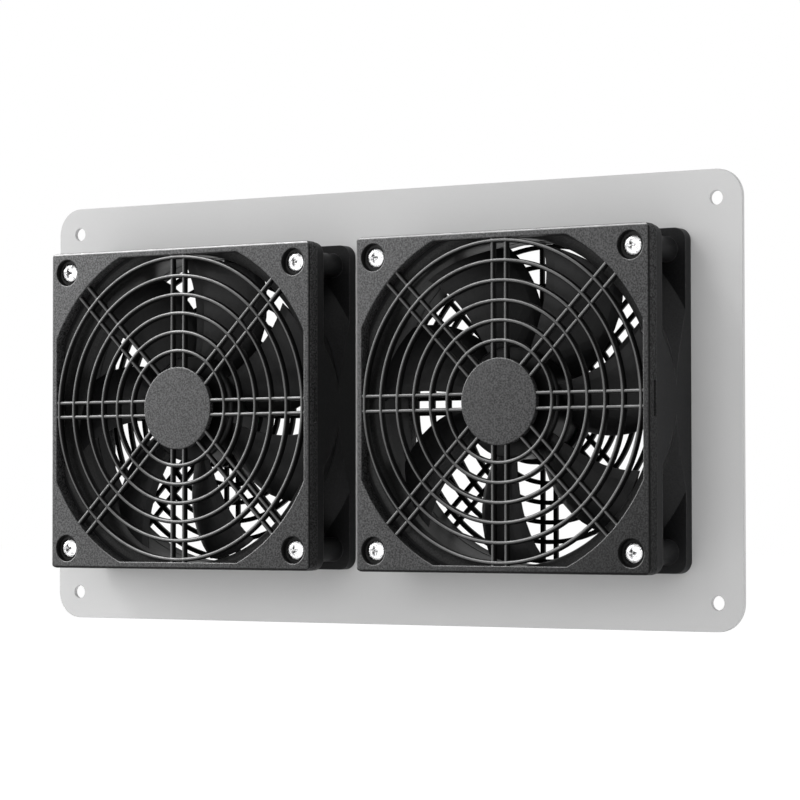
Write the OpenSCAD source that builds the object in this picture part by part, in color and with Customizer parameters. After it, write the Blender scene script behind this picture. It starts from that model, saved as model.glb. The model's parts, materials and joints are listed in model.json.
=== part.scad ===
// Twin solar exhaust fan: a pale plate that carries two square axial fans side by side.
// +Z is up and the fans face -Y. The origin is the middle of the plate's rear face.
// Each fan is modelled with its axis along Z and its rear face at z = 0, then stood up on the plate.

/* [Plate] */
// Width of the mounting plate
plate_w = 300; // [290:1:400]
// Height of the mounting plate
plate_h = 160; // [150:1:240]
// Thickness of the plate sheet
plate_t = 1.5; // [1:0.1:4]
// Corner radius of the plate
plate_corner_r = 10; // [4:1:20]
// Diameter of the plate's mounting holes
plate_hole_d = 5; // [3:0.1:7]
// Distance of the mounting holes from the plate's edges
plate_hole_inset = 10; // [6:0.5:12]
// Distance between the centres of the two fans
fan_pitch = 140; // [126:1:150]

/* [Fan frame] */
// Side of the square fan frame and of the guards
fan_size = 120; // [119:0.5:126]
// Depth of the fan frame
fan_depth = 25; // [24:0.5:38]
// Distance between neighbouring screws
screw_pitch = 105; // [103:0.5:107]
// Thickness of the fan frame's two flanges
flange_t = 4; // [2.5:0.1:5]
// Corner radius of the fan frame
frame_corner_r = 4.5; // [2:0.1:7]
// Wall left between the duct and the middle of each side
duct_side_wall = 1.5; // [1:0.1:2]
// Radius of the duct's throat
throat_r = 57.6; // [57:0.1:58]
// Radius of the rounded lip at the front of the duct
front_lip_r = 4.4; // [2:0.1:5]
// Radius of the rounded lip at the rear of the duct
rear_lip_r = 5.5; // [2:0.1:6]
// Thickness of the duct's wall behind the front flange
duct_front_wall = 6.4; // [4.5:0.1:8]
// Thickness of the duct's wall at its waist
waist_wall = 2.6; // [1.8:0.1:3.4]
// Thickness of the duct's wall in front of the rear flange
duct_rear_wall = 9.9; // [7:0.1:10.4]
// Distance of the waist from the rear face
waist_z = 10.8; // [9:0.1:12]
// Outer diameter of the screw tubes in the corners
screw_tube_d = 9; // [7:0.1:9.5]
// Thickness of the web that ties each screw tube to the duct
tube_web_t = 3; // [1.5:0.1:4]

/* [Motor mount] */
// Radius of the motor base
base_r = 21.8; // [20.5:0.1:24]
// Thickness of the motor base
base_t = 1.6; // [1:0.1:2]
// Height of the motor base's rim
base_rim_h = 5; // [4.8:0.1:5.5]
// Thickness of the motor base's rim
base_rim_t = 1.5; // [1:0.1:2]
// Width of a strut
strut_w = 2.4; // [1.6:0.1:5]
// Depth of a strut
strut_h = 3.4; // [2:0.1:4.5]
// Distance at which the struts pass the fan's axis
strut_offset = 11; // [0:0.5:15]
// Number of struts
strut_count = 4; // [3:1:6]

/* [Guards] */
// Depth of a guard
guard_depth = 5; // [4.2:0.1:8]
// Corner radius of a guard
guard_corner_r = 2.6; // [2:0.1:5]
// Rounding of the guard's front edges
guard_edge_r = 1; // [0.5:0.1:1.5]
// Width of the guard's border beside the opening
guard_border = 2.6; // [2:0.1:3]
// Radius that cuts the corners of the guard's opening
guard_open_r = 63.5; // [61:0.1:65]
// Thickness of the walls round the hollows behind the guard's corners
guard_wall = 1.6; // [1.2:0.1:2.2]
// Thickness of the guard's face over the corner hollows
guard_face_t = 1.8; // [1.2:0.1:2.4]
// Radius of the blank disc in the middle
disc_r = 15.3; // [10:0.1:18]
// Distance from the edge of the disc to the middle of the first ring
first_ring_gap = 6.1; // [4:0.1:9]
// Distance from one ring to the next
ring_pitch = 7; // [5.5:0.1:10]
// Width of the rings and spokes
bar_w = 1.6; // [1:0.1:2]
// Depth of the rings
bar_h = 2; // [1.6:0.1:3]
// How far the spokes lie below the rings
spoke_drop = 0.2; // [0.1:0.05:0.4]
// Distance between the two spokes of a pair, middle to middle
spoke_gap = 5.4; // [4:0.1:8]
// Length of the slot in the guard's side walls
side_slot_l = 12.4; // [6:0.1:20]
// Width of the slot in the guard's side walls
side_slot_w = 1.3; // [0.8:0.1:1.6]

/* [Screws] */
// Diameter of the screw shanks
screw_d = 4; // [3:0.1:4.2]
// Clearance of the shank in its holes, on the diameter
screw_play = 0.4; // [0.2:0.05:0.6]
// Diameter of the screw heads
head_d = 7.2; // [6.5:0.1:8]
// Height of the screw heads
head_h = 2.2; // [1.8:0.1:2.4]
// How far the screws' ends stick out of the nuts
screw_tail = 0.3; // [0:0.1:0.8]
// Diameter of the counterbores in the guards
counterbore_d = 10; // [9.4:0.1:11]
// Thickness of the counterbores' floors
counterbore_floor = 2.4; // [1:0.1:2.6]
// Width of a nut across its flats
nut_flats = 7; // [6:0.1:7.4]
// Thickness of a nut
nut_h = 2.2; // [2:0.1:3.2]

/* [Impeller] */
// Number of blades
blade_count = 7; // [5:1:9]
// Radius of the impeller's hub
hub_r = 20; // [19.9:0.1:20.8]
// Thickness of the hub's wall
hub_wall = 1.6; // [1.5:0.1:1.8]
// Thickness of the hub's front
hub_front_t = 1.9; // [1.7:0.1:2.5]
// Distance of the hub's front behind the front of the frame
hub_setback = 2.7; // [2:0.1:3.4]
// Rounding of the hub's front edge
hub_edge_r = 1.4; // [0.8:0.1:1.5]
// Gap between the motor base's rim and the hub
hub_base_gap = 1; // [0.6:0.1:1.5]
// Running gap between the blade tips and the duct
tip_gap = 1.3; // [0.8:0.1:2]
// Distance of the blades' front edges behind the front of the frame
blade_setback = 4.8; // [4.2:0.1:6]
// Height of the blades' rear edges over the rear of the frame at the hub
blade_root_z = 7; // [6.8:0.1:8]
// Height of the blades' rear edges over the rear of the frame at the tip
blade_tip_z = 8.8; // [7:0.1:10]
// Angle that a blade covers at the hub, in degrees
blade_root_angle = 44; // [30:1:46]
// Angle that a blade covers at the tip, in degrees
blade_tip_angle = 30; // [20:1:44]
// Angle by which a blade's tip is swept round from its root, in degrees
blade_sweep = 15.3; // [0:0.1:25]
// How much the blade's middle bulges forward, as a share of its height
blade_camber = 0.12; // [0:0.01:0.2]
// Thickness of a blade at its root
blade_root_t = 2; // [1.2:0.1:2.4]
// Thickness of a blade at its tip
blade_tip_t = 1.3; // [0.8:0.1:1.6]
// Turn of the left impeller as it stands at rest, in degrees
left_rest_angle = 12.6; // [-25:0.1:26]
// Turn of the right impeller as it stands at rest, in degrees
right_rest_angle = -4.6; // [-25:0.1:26]

/* [Motor] */
// Thickness of the steel yoke
yoke_t = 1; // [0.8:0.1:1.2]
// Thickness of the magnet ring
magnet_t = 1.9; // [1.6:0.1:2.2]
// Air gap between the magnet and the stator
air_gap = 0.5; // [0.4:0.05:0.7]
// Height of the stator's stack of sheets
stack_h = 7; // [6:0.1:7.4]
// Height of the stator over the rear of the frame
stator_z = 7.4; // [7.3:0.1:8]
// Width of a stator pole
pole_w = 5; // [4:0.1:5.4]
// Radial thickness of the pole shoes
shoe_t = 1.7; // [1.4:0.1:1.8]
// Radius of the stator's middle
stator_core_r = 8; // [7:0.1:8.2]
// Thickness of the bobbin's walls
bobbin_t = 0.6; // [0.4:0.1:0.7]
// Thickness of a winding on its bobbin
winding_t = 1.8; // [1.2:0.1:1.9]
// Outer radius of the bearing tube
tube_r = 5; // [4.8:0.1:5.6]
// Outer diameter of the ball bearings
bearing_od = 8; // [8:0.1:8.6]
// Width of the ball bearings
bearing_w = 4; // [3:0.1:4.2]
// Diameter of the shaft
shaft_d = 3; // [2.6:0.1:3.1]
// Diameter of the bearing balls
ball_d = 1.5; // [1.3:0.05:1.6]
// Number of balls in a bearing
ball_count = 7; // [5:1:7]
// Height of the preload washer
washer_h = 1.2; // [0.8:0.1:1.6]
// Thickness of the retaining clip
clip_t = 0.4; // [0.3:0.05:0.6]
// Thickness of the circuit board
board_t = 1.2; // [0.8:0.1:1.4]
// Height of the circuit board over the motor base
board_lift = 1.8; // [1.7:0.1:1.9]
// Distance of the yoke's rear edge in front of the hub's
yoke_inset = 0.6; // [0.3:0.1:0.8]
// Distance of the magnet's rear edge in front of the yoke's
magnet_inset = 0.4; // [0.2:0.1:0.8]
// Distance of the magnet's front edge behind the yoke's inner face
magnet_headroom = 1.4; // [0.6:0.1:2]
// Distance of the bearing tube's front end behind the yoke's inner face
tube_headroom = 2.2; // [1.8:0.1:2.6]
// Distance of the upper bearing from the bearing tube's front end
bearing_inset = 0.4; // [0.2:0.1:0.6]
// Height of the lower bearing over the motor base
bearing_lift = 1.6; // [1.5:0.1:1.8]
// Depth of the clip's groove in the shaft
clip_groove_depth = 0.4; // [0.3:0.05:0.5]
// Width of the gaps between the stator's pole shoes
shoe_slot_w = 3.5; // [2:0.1:4]
// Width of the ledge on the motor base that carries the board
board_seat_w = 2.2; // [1.5:0.1:2.5]

/* [Hidden] */

$fn = 96;
eps = 0.01;
left = -1;
right = 1;

// Fan frame and guards
half_size = fan_size / 2;
half_screws = screw_pitch / 2;
hole_d = screw_d + screw_play;
duct_half = half_size - duct_side_wall;
duct_front_r = throat_r + duct_front_wall;
waist_r = throat_r + waist_wall;
duct_rear_r = throat_r + duct_rear_wall;
guard_half = half_size - guard_border;
bar_z = guard_depth - bar_h;
first_ring_r = disc_r + first_ring_gap;
ring_room = guard_half - bar_w / 2 - first_ring_r;
ring_count = floor(ring_room / ring_pitch) + 1;
strut_in = sqrt(pow(base_r - base_rim_t / 2, 2) - pow(strut_offset, 2));
strut_out = sqrt(pow(throat_r + 1, 2) - pow(strut_offset, 2));
nose_w = 0.5;
nose_h = 0.8;
hollow_start = half_screws - counterbore_d;
side_slot_z = 0.8;
waist_bow_r = -1;
waist_bow_z = 0.8;

// Heights of the rotor's parts over the rear of the fan frame
hub_rear_z = base_rim_h + hub_base_gap;
hub_front_z = fan_depth - hub_setback;
yoke_top_z = hub_front_z - hub_front_t;
yoke_inner_z = yoke_top_z - yoke_t;
yoke_rear_z = hub_rear_z + yoke_inset;
magnet_rear_z = yoke_rear_z + magnet_inset;
magnet_top_z = yoke_inner_z - magnet_headroom;
yoke_r = hub_r - hub_wall;
magnet_r = yoke_r - yoke_t;
stator_r = magnet_r - magnet_t - air_gap;
blade_front_z = fan_depth - blade_setback;
tip_r = throat_r - tip_gap;
root_r = hub_r - hub_wall / 2;

// Heights of the bearings and what sits on them
tube_top_z = yoke_inner_z - tube_headroom;
lower_bearing_z = base_t + bearing_lift;
upper_bearing_z = tube_top_z - bearing_inset - bearing_w;
washer_z = lower_bearing_z + bearing_w;
shoulder_z = washer_z + washer_h;
bushing_z = upper_bearing_z + bearing_w;
bushing_neck = 1.6;
bushing_bite = 1;
bushing_step_z = bushing_z + bushing_neck;
bushing_top_z = yoke_top_z + bushing_bite;
bushing_r = 3.2;
shaft_tail = 0.6;
shaft_end_z = lower_bearing_z - clip_t - shaft_tail;
bearing_r = bearing_od / 2;
shaft_r = shaft_d / 2;
race_t = 0.6;
inner_race_r = shaft_r + race_t;
outer_race_r = bearing_r - race_t;
ball_orbit_r = (inner_race_r + outer_race_r) / 2;
groove_play = 0.02;
groove_r = ball_d / 2 + groove_play;
clip_groove_r = shaft_r - clip_groove_depth;
clip_lip = 0.4;
clip_r = inner_race_r + clip_lip;
washer_sheet = 0.3;
washer_play = 0.1;
tube_lip = 0.2;

// Heights of the stator and its board
board_z = base_t + board_lift;
board_top_z = board_z + board_t;
stack_top_z = stator_z + stack_h;
stack_mid_z = stator_z + stack_h / 2;
shoe_r = stator_r - shoe_t;
winding_in_r = stator_core_r + bobbin_t;
winding_half_w = pole_w / 2 + bobbin_t + winding_t;
shoe_play = 0.3;
winding_out_r = sqrt(pow(shoe_r - shoe_play, 2) - pow(winding_half_w, 2));
board_seat_r = tube_r + board_seat_w;
board_r = base_r - base_rim_t - 1;
bobbin_end_t = 1.2;
sleeve_corner_r = 0.8;
pole_count = 4;

// The driver chip and the field sensor: sizes, and their distances from the fan's axis
chip_size = [4, 5, 1.4];
chip_x = 9;
sensor_size = [1.2, 3, 1.6];
sensor_x = 14.4;

frame_col = [0.07, 0.07, 0.075];
guard_col = [0.2, 0.2, 0.21];
plate_col = [0.78, 0.78, 0.78];
steel_col = [0.72, 0.73, 0.75];
brass_col = [0.8, 0.66, 0.35];
copper_col = [0.72, 0.4, 0.2];
board_col = [0.1, 0.35, 0.2];

// Shared outlines

// A rectangle with round corners, about the origin
module rounded_rect(w, h, r) {
    square([w - 2 * r, h], center = true);
    square([w, h - 2 * r], center = true);
    for (x = [-1, 1], y = [-1, 1])
        translate([x * (w / 2 - r), y * (h / 2 - r)])
            circle(r);
}

// A slab's cross-section that stands on the x axis, with its two upper corners rounded
module crowned_section(w, h, r) {
    translate([-w / 2, 0])
        square([w, h - r]);
    translate([r - w / 2, 0])
        square([w - 2 * r, h]);
    for (x = [-1, 1])
        translate([x * (w / 2 - r), h - r])
            circle(r);
}

// The cross-section of a ring or spoke, with a narrow nose to the front
module bar_section(h) {
    w = bar_w / 2;
    nose = nose_w / 2;
    waist = (w + nose) / 2 + 0.1;
    polygon([
        [-w, 0], [w, 0], [w, h - nose_h], [waist, h - nose_h / 3],
        [nose, h], [-nose, h], [-waist, h - nose_h / 3], [-w, h - nose_h]
    ]);
}

// Four copies, one at each screw
module at_screws() {
    for (x = [-1, 1], y = [-1, 1])
        translate([x * half_screws, y * half_screws, 0])
            children();
}

// Stands a fan that lies along Z up on the plate, on the left or the right
module on_plate(side) {
    translate([side * fan_pitch / 2, -plate_t, 0])
        rotate([90, 0, 0])
            children();
}

// Plate

module mounting_plate() {
    color(plate_col)
        rotate([90, 0, 0])
            difference() {
                linear_extrude(plate_t)
                    rounded_rect(plate_w, plate_h, plate_corner_r);
                for (x = [-1, 1], y = [-1, 1])
                    translate([
                        x * (plate_w / 2 - plate_hole_inset),
                        y * (plate_h / 2 - plate_hole_inset),
                        -eps
                    ])
                        cylinder(d = plate_hole_d, h = plate_t + 2 * eps);
                for (side = [left, right])
                    translate([side * fan_pitch / 2, 0, -eps]) {
                        linear_extrude(plate_t + 2 * eps)
                            intersection() {
                                circle(throat_r + rear_lip_r);
                                square(2 * duct_half, center = true);
                            }
                        at_screws()
                            cylinder(d = hole_d, h = plate_t + 2 * eps);
                    }
            }
}

// Fan frame

// The waisted outside of the duct, cut flat by the frame's square sides
module duct_outside() {
    intersection() {
        rotate_extrude()
            polygon([
                [0, eps], [duct_rear_r, eps], [duct_rear_r, flange_t],
                [(duct_rear_r + waist_r) / 2 + waist_bow_r, (flange_t + waist_z) / 2 + waist_bow_z],
                [waist_r, waist_z],
                [duct_front_r, fan_depth - flange_t],
                [duct_front_r, fan_depth - eps], [0, fan_depth - eps]
            ]);
        translate([-half_size, -half_size, 0])
            cube([fan_size, fan_size, fan_depth]);
    }
}

// The air's way through the duct, with a round lip at each end
module duct_inside() {
    intersection() {
        rotate_extrude()
            difference() {
                translate([0, -eps])
                    square([throat_r + max(front_lip_r, rear_lip_r), fan_depth + 2 * eps]);
                translate([throat_r, rear_lip_r])
                    square([2 * front_lip_r + 2 * rear_lip_r, fan_depth - front_lip_r - rear_lip_r]);
                translate([throat_r + rear_lip_r, rear_lip_r])
                    circle(rear_lip_r);
                translate([throat_r + front_lip_r, fan_depth - front_lip_r])
                    circle(front_lip_r);
                translate([throat_r + front_lip_r, fan_depth - front_lip_r])
                    square([front_lip_r + rear_lip_r, front_lip_r + 1]);
            }
        translate([-duct_half, -duct_half, -1])
            cube([2 * duct_half, 2 * duct_half, fan_depth + 2]);
    }
}

module flange(z) {
    translate([0, 0, z])
        linear_extrude(flange_t)
            rounded_rect(fan_size, fan_size, frame_corner_r);
}

// The ring in the middle of the struts that carries the motor
module motor_base() {
    difference() {
        cylinder(r = base_r, h = base_rim_h);
        translate([0, 0, base_t])
            cylinder(r = base_r - base_rim_t, h = base_rim_h);
    }
    difference() {
        cylinder(r = board_seat_r, h = board_z);
        translate([0, 0, base_t])
            cylinder(r = tube_r, h = board_z);
    }
}

module struts() {
    for (i = [0 : strut_count - 1])
        rotate([0, 0, i * 360 / strut_count - 45])
            translate([strut_in, -strut_offset - strut_w / 2, 0])
                cube([strut_out - strut_in, strut_w, strut_h]);
}

module fan_frame() {
    color(frame_col) {
        difference() {
            union() {
                flange(0);
                flange(fan_depth - flange_t);
                duct_outside();
                at_screws()
                    cylinder(d = screw_tube_d, h = fan_depth - eps);
                for (i = [0 : 3])
                    rotate([0, 0, 45 + 90 * i])
                        translate([waist_r, -tube_web_t / 2, eps])
                            cube([half_screws * sqrt(2) - waist_r, tube_web_t, fan_depth - 2 * eps]);
            }
            duct_inside();
            translate([0, 0, -1])
                at_screws()
                    cylinder(d = hole_d, h = fan_depth + 2);
        }
        motor_base();
        struts();
    }
}

// Guards

// The opening that the rings and spokes fill
module guard_opening() {
    intersection() {
        circle(guard_open_r);
        square(2 * guard_half, center = true);
    }
}

// The square block of a guard, rounded to the front
module guard_block() {
    intersection() {
        linear_extrude(guard_depth)
            rounded_rect(fan_size, fan_size, guard_corner_r);
        rotate([90, 0, 0])
            linear_extrude(fan_size + 2, center = true)
                crowned_section(fan_size, guard_depth, guard_edge_r);
        rotate([90, 0, 90])
            linear_extrude(fan_size + 2, center = true)
                crowned_section(fan_size, guard_depth, guard_edge_r);
    }
}

// The hollows behind the guard's corners, round the screw posts
module guard_hollows() {
    translate([0, 0, -eps])
        linear_extrude(guard_depth - guard_face_t)
            difference() {
                rounded_rect(fan_size - 2 * guard_wall, fan_size - 2 * guard_wall, guard_corner_r - 1);
                circle(guard_open_r + guard_wall);
                square([fan_size, 2 * hollow_start], center = true);
                square([2 * hollow_start, fan_size], center = true);
                at_screws()
                    circle(d = counterbore_d + 2 * guard_wall);
            }
}

// One pair of spokes right across the guard
module spoke_pair() {
    for (y = [-1, 1])
        translate([0, y * spoke_gap / 2, 0])
            rotate([90, 0, 90])
                linear_extrude(2 * guard_open_r + 2, center = true)
                    bar_section(bar_h - spoke_drop);
}

// The rings, the spokes and the blank disc
module grille() {
    translate([0, 0, bar_z]) {
        intersection() {
            for (i = [0 : 3])
                rotate([0, 0, i * 45])
                    spoke_pair();
            linear_extrude(bar_h)
                intersection() {
                    circle(guard_open_r + guard_wall / 2);
                    square(2 * guard_half + guard_border, center = true);
                }
        }
        for (i = [0 : ring_count - 1])
            rotate_extrude()
                translate([first_ring_r + i * ring_pitch, 0])
                    bar_section(bar_h);
        cylinder(r = disc_r, h = bar_h);
    }
}

module guard() {
    color(guard_col) {
        difference() {
            guard_block();
            translate([0, 0, -1])
                linear_extrude(guard_depth + 2)
                    guard_opening();
            guard_hollows();
            at_screws() {
                translate([0, 0, -1])
                    cylinder(d = hole_d, h = guard_depth + 2);
                translate([0, 0, counterbore_floor])
                    cylinder(d = counterbore_d, h = guard_depth);
            }
            for (x = [-1, 1])
                translate([x * half_size, 0, side_slot_z + side_slot_w / 2])
                    cube([guard_border, side_slot_l, side_slot_w], center = true);
        }
        grille();
    }
}

module front_guard() {
    translate([0, 0, fan_depth])
        guard();
}

module rear_guard() {
    translate([0, 0, -plate_t])
        mirror([0, 0, 1])
            guard();
}

// Screws and nuts

module fan_screws() {
    head_z = fan_depth + counterbore_floor;
    grip = head_z + plate_t + counterbore_floor + nut_h + screw_tail;
    dome_r = head_d * 0.8;
    recess_w = 0.9;
    recess_l = 3.8;
    recess_h = 1.2;
    color(steel_col)
        at_screws()
            translate([0, 0, head_z])
                difference() {
                    union() {
                        rotate_extrude()
                            intersection() {
                                translate([0, head_h - dome_r])
                                    circle(dome_r);
                                square([head_d / 2, head_h]);
                            }
                        translate([0, 0, -grip])
                            cylinder(d = screw_d, h = grip + eps);
                    }
                    translate([0, 0, head_h - recess_h / 2]) {
                        cube([recess_l, recess_w, recess_h + eps], center = true);
                        cube([recess_w, recess_l, recess_h + eps], center = true);
                    }
                }
}

module fan_nuts() {
    color(steel_col)
        at_screws()
            translate([0, 0, -plate_t - counterbore_floor - nut_h])
                difference() {
                    cylinder(d = nut_flats / cos(30), h = nut_h, $fn = 6);
                    translate([0, 0, -1])
                        cylinder(d = screw_d, h = nut_h + 2);
                }
}

// Impeller

// Share of the sweep that starts at the hub, and share of the thickness left at the edges
sweep_lead = 0.25;
edge_share = 0.25;

// Angle of the blade's middle line, s = 0 at the hub and 1 at the tip
function blade_middle(s) = blade_sweep * s * (sweep_lead + (1 - sweep_lead) * s);
function blade_span(s) = blade_root_angle + (blade_tip_angle - blade_root_angle) * s;
function blade_radius(s) = root_r + (tip_r - root_r) * s;
function blade_rear(s) = blade_root_z + (blade_tip_z - blade_root_z) * s;

// A point of the blade's middle surface, u = 0 at the front edge and 1 at the rear edge
function blade_point(s, u) =
    let (
        a = blade_middle(s) + blade_span(s) * (0.5 - u),
        height = blade_front_z - blade_rear(s),
        z = blade_front_z - height * (u - 4 * blade_camber * u * (1 - u)),
        r = blade_radius(s)
    )
    [r * cos(a), r * sin(a), z];

function unit(v) = v / norm(v);
function blade_normal(s, u) =
    unit(cross(
        blade_point(s + eps, u) - blade_point(s - eps, u),
        blade_point(s, u + eps) - blade_point(s, u - eps)
    ));

// Half of the blade's thickness, drawn in to round edges at the front and the rear
function blade_half_t(s, u) =
    let (full = (blade_root_t + (blade_tip_t - blade_root_t) * s) / 2)
    full * (edge_share + (1 - edge_share) * sqrt(max(0, 1 - pow(2 * u - 1, 4))));

blade_rows = 8;
blade_cols = 8;
blade_ring = 2 * (blade_cols + 1);

// Goes round the blade's section: along the front skin and back along the rear skin
function skin_u(j) = (j <= blade_cols ? j : blade_ring - 1 - j) / blade_cols;
function skin_side(j) = j <= blade_cols ? 1 : -1;
function skin_point(s, j) =
    blade_point(s, skin_u(j)) + skin_side(j) * blade_half_t(s, skin_u(j)) * blade_normal(s, skin_u(j));

// Keeps the blade's tip on the tip radius
function on_radius(p, r) =
    let (k = r / norm([p[0], p[1]]))
    [p[0] * k, p[1] * k, p[2]];

blade_points = [
    for (i = [0 : blade_rows], j = [0 : blade_ring - 1])
        on_radius(skin_point(i / blade_rows, j), blade_radius(i / blade_rows))
];

function skin_index(i, j) = i * blade_ring + j % blade_ring;

blade_faces = concat(
    [
        for (i = [0 : blade_rows - 1], j = [0 : blade_ring - 1], half = [0, 1])
            half == 0
                ? [skin_index(i, j), skin_index(i, j + 1), skin_index(i + 1, j)]
                : [skin_index(i, j + 1), skin_index(i + 1, j + 1), skin_index(i + 1, j)]
    ],
    [
        for (j = [0 : blade_cols - 1], half = [0, 1], row = [0, blade_rows])
            let (
                a = skin_index(row, j),
                b = skin_index(row, j + 1),
                c = skin_index(row, blade_ring - 1 - j),
                d = skin_index(row, blade_ring - 2 - j),
                face = half == 0 ? [a, c, b] : [b, c, d]
            )
            row == 0 ? face : [face[2], face[1], face[0]]
    ]
);

module hub_shell() {
    rotate_extrude()
        difference() {
            union() {
                translate([0, hub_rear_z])
                    square([hub_r, hub_front_z - hub_rear_z - hub_edge_r]);
                translate([0, hub_front_z - hub_edge_r - eps])
                    square([hub_r - hub_edge_r, hub_edge_r + eps]);
                translate([hub_r - hub_edge_r, hub_front_z - hub_edge_r])
                    circle(hub_edge_r);
            }
            translate([-eps, hub_rear_z - 1])
                square([yoke_r + eps, yoke_top_z - hub_rear_z + 1]);
            translate([-eps, 0])
                square([bushing_r + eps, bushing_top_z]);
        }
}

module impeller(turn) {
    color(frame_col)
        rotate([0, 0, turn]) {
            hub_shell();
            for (i = [0 : blade_count - 1])
                rotate([0, 0, i * 360 / blade_count])
                    polyhedron(points = blade_points, faces = blade_faces);
        }
}

// Rotor parts inside the hub

module rotor_yoke() {
    color(steel_col)
        difference() {
            translate([0, 0, yoke_rear_z])
                cylinder(r = yoke_r, h = yoke_top_z - yoke_rear_z);
            translate([0, 0, yoke_rear_z - 1])
                cylinder(r = magnet_r, h = yoke_inner_z - yoke_rear_z + 1);
            cylinder(r = bushing_r, h = fan_depth);
        }
}

module rotor_magnet() {
    color([0.25, 0.25, 0.26])
        translate([0, 0, magnet_rear_z])
            difference() {
                cylinder(r = magnet_r, h = magnet_top_z - magnet_rear_z);
                translate([0, 0, -1])
                    cylinder(r = magnet_r - magnet_t, h = fan_depth);
            }
}

module shaft_bushing() {
    color(brass_col)
        difference() {
            union() {
                translate([0, 0, bushing_z])
                    cylinder(r = inner_race_r, h = bushing_top_z - bushing_z);
                translate([0, 0, bushing_step_z])
                    cylinder(r = bushing_r, h = bushing_top_z - bushing_step_z);
            }
            translate([0, 0, bushing_z - 1])
                cylinder(r = shaft_r, h = fan_depth);
        }
}

module shaft() {
    clip_z = lower_bearing_z - clip_t;
    color(steel_col)
        difference() {
            translate([0, 0, shaft_end_z])
                cylinder(r = shaft_r, h = bushing_top_z - shaft_end_z);
            translate([0, 0, clip_z])
                difference() {
                    cylinder(r = shaft_r + 1, h = clip_t);
                    translate([0, 0, -1])
                        cylinder(r = clip_groove_r, h = clip_t + 2);
                }
        }
}

module retaining_clip() {
    color(steel_col)
        translate([0, 0, lower_bearing_z - clip_t])
            difference() {
                cylinder(r = clip_r, h = clip_t);
                translate([0, 0, -1])
                    cylinder(r = clip_groove_r, h = clip_t + 2);
                translate([0, -clip_groove_r, -1])
                    cube([clip_r + 1, 2 * clip_groove_r, clip_t + 2]);
            }
}

// Bearings

module at_bearings() {
    for (z = [lower_bearing_z, upper_bearing_z])
        translate([0, 0, z])
            children();
}

// The groove that the balls run in
module ball_groove() {
    translate([ball_orbit_r, bearing_w / 2])
        circle(groove_r);
}

module bearing_inner_rings() {
    color(steel_col)
        at_bearings()
            rotate_extrude()
                difference() {
                    translate([shaft_r, 0])
                        square([inner_race_r - shaft_r, bearing_w]);
                    ball_groove();
                }
}

module bearing_outer_rings() {
    color(steel_col)
        at_bearings()
            rotate_extrude()
                difference() {
                    translate([outer_race_r, 0])
                        square([bearing_r - outer_race_r, bearing_w]);
                    ball_groove();
                }
}

module bearing_balls() {
    color(steel_col)
        at_bearings()
            for (i = [0 : ball_count - 1])
                rotate([0, 0, i * 360 / ball_count])
                    translate([ball_orbit_r, 0, bearing_w / 2])
                        sphere(d = ball_d, $fn = 24);
}

// The conical washer that presses on the lower bearing's outer ring
module preload_washer() {
    washer_r = bearing_r - washer_play;
    color(steel_col)
        rotate_extrude()
            polygon([
                [washer_r - washer_sheet, washer_z], [washer_r, washer_z],
                [outer_race_r + washer_sheet, shoulder_z], [outer_race_r, shoulder_z]
            ]);
}

module bearing_tube() {
    color(brass_col)
        difference() {
            translate([0, 0, base_t])
                cylinder(r = tube_r, h = tube_top_z - base_t);
            cylinder(r = bearing_r, h = shoulder_z);
            cylinder(r = outer_race_r - tube_lip, h = fan_depth);
            translate([0, 0, upper_bearing_z])
                cylinder(r = bearing_r, h = fan_depth);
        }
}

// Stator

module stator_core() {
    color([0.45, 0.45, 0.47])
        translate([0, 0, stator_z])
            linear_extrude(stack_h)
                difference() {
                    union() {
                        circle(stator_core_r);
                        for (i = [0 : pole_count - 1])
                            rotate(i * 360 / pole_count)
                                translate([0, -pole_w / 2])
                                    square([shoe_r + shoe_t / 2, pole_w]);
                        difference() {
                            circle(stator_r);
                            circle(shoe_r);
                            for (i = [0 : pole_count - 1])
                                rotate(i * 360 / pole_count + 45)
                                    translate([0, -shoe_slot_w / 2])
                                        square([stator_r + 1, shoe_slot_w]);
                        }
                    }
                    circle(tube_r);
                }
}

// One sleeve round a pole, drawn from the radius r0 to r1
module pole_sleeve(r0, r1, inner, thickness) {
    translate([r0, 0, stack_mid_z])
        rotate([90, 0, 90])
            linear_extrude(r1 - r0)
                difference() {
                    rounded_rect(
                        pole_w + 2 * inner + 2 * thickness,
                        stack_h + 2 * inner + 2 * thickness,
                        min(sleeve_corner_r, thickness)
                    );
                    square([pole_w + 2 * inner, stack_h + 2 * inner], center = true);
                }
}

module coil_bobbin() {
    color([0.85, 0.85, 0.8]) {
        for (i = [0 : pole_count - 1])
            rotate([0, 0, i * 360 / pole_count])
                pole_sleeve(stator_core_r - eps, winding_out_r, 0, bobbin_t);
        difference() {
            union() {
                translate([0, 0, board_top_z])
                    cylinder(r = stator_core_r, h = stator_z - board_top_z);
                translate([0, 0, stack_top_z])
                    cylinder(r = stator_core_r, h = bobbin_end_t);
            }
            cylinder(r = tube_r, h = fan_depth);
        }
    }
}

module windings() {
    color(copper_col)
        for (i = [0 : pole_count - 1])
            rotate([0, 0, i * 360 / pole_count])
                pole_sleeve(winding_in_r, winding_out_r - shoe_play, bobbin_t, winding_t);
}

module circuit_board() {
    color(board_col)
        translate([0, 0, board_z])
            difference() {
                cylinder(r = board_r, h = board_t);
                translate([0, 0, -1])
                    cylinder(r = tube_r, h = board_t + 2);
            }
}

// The driver chip under the board and the field sensor on it
module drive_chips() {
    color([0.12, 0.12, 0.12]) {
        translate([chip_x, -chip_size[1] / 2, board_z - chip_size[2]])
            cube(chip_size);
        rotate([0, 0, 45])
            translate([sensor_x, -sensor_size[1] / 2, board_top_z])
                cube(sensor_size);
    }
}

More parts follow.
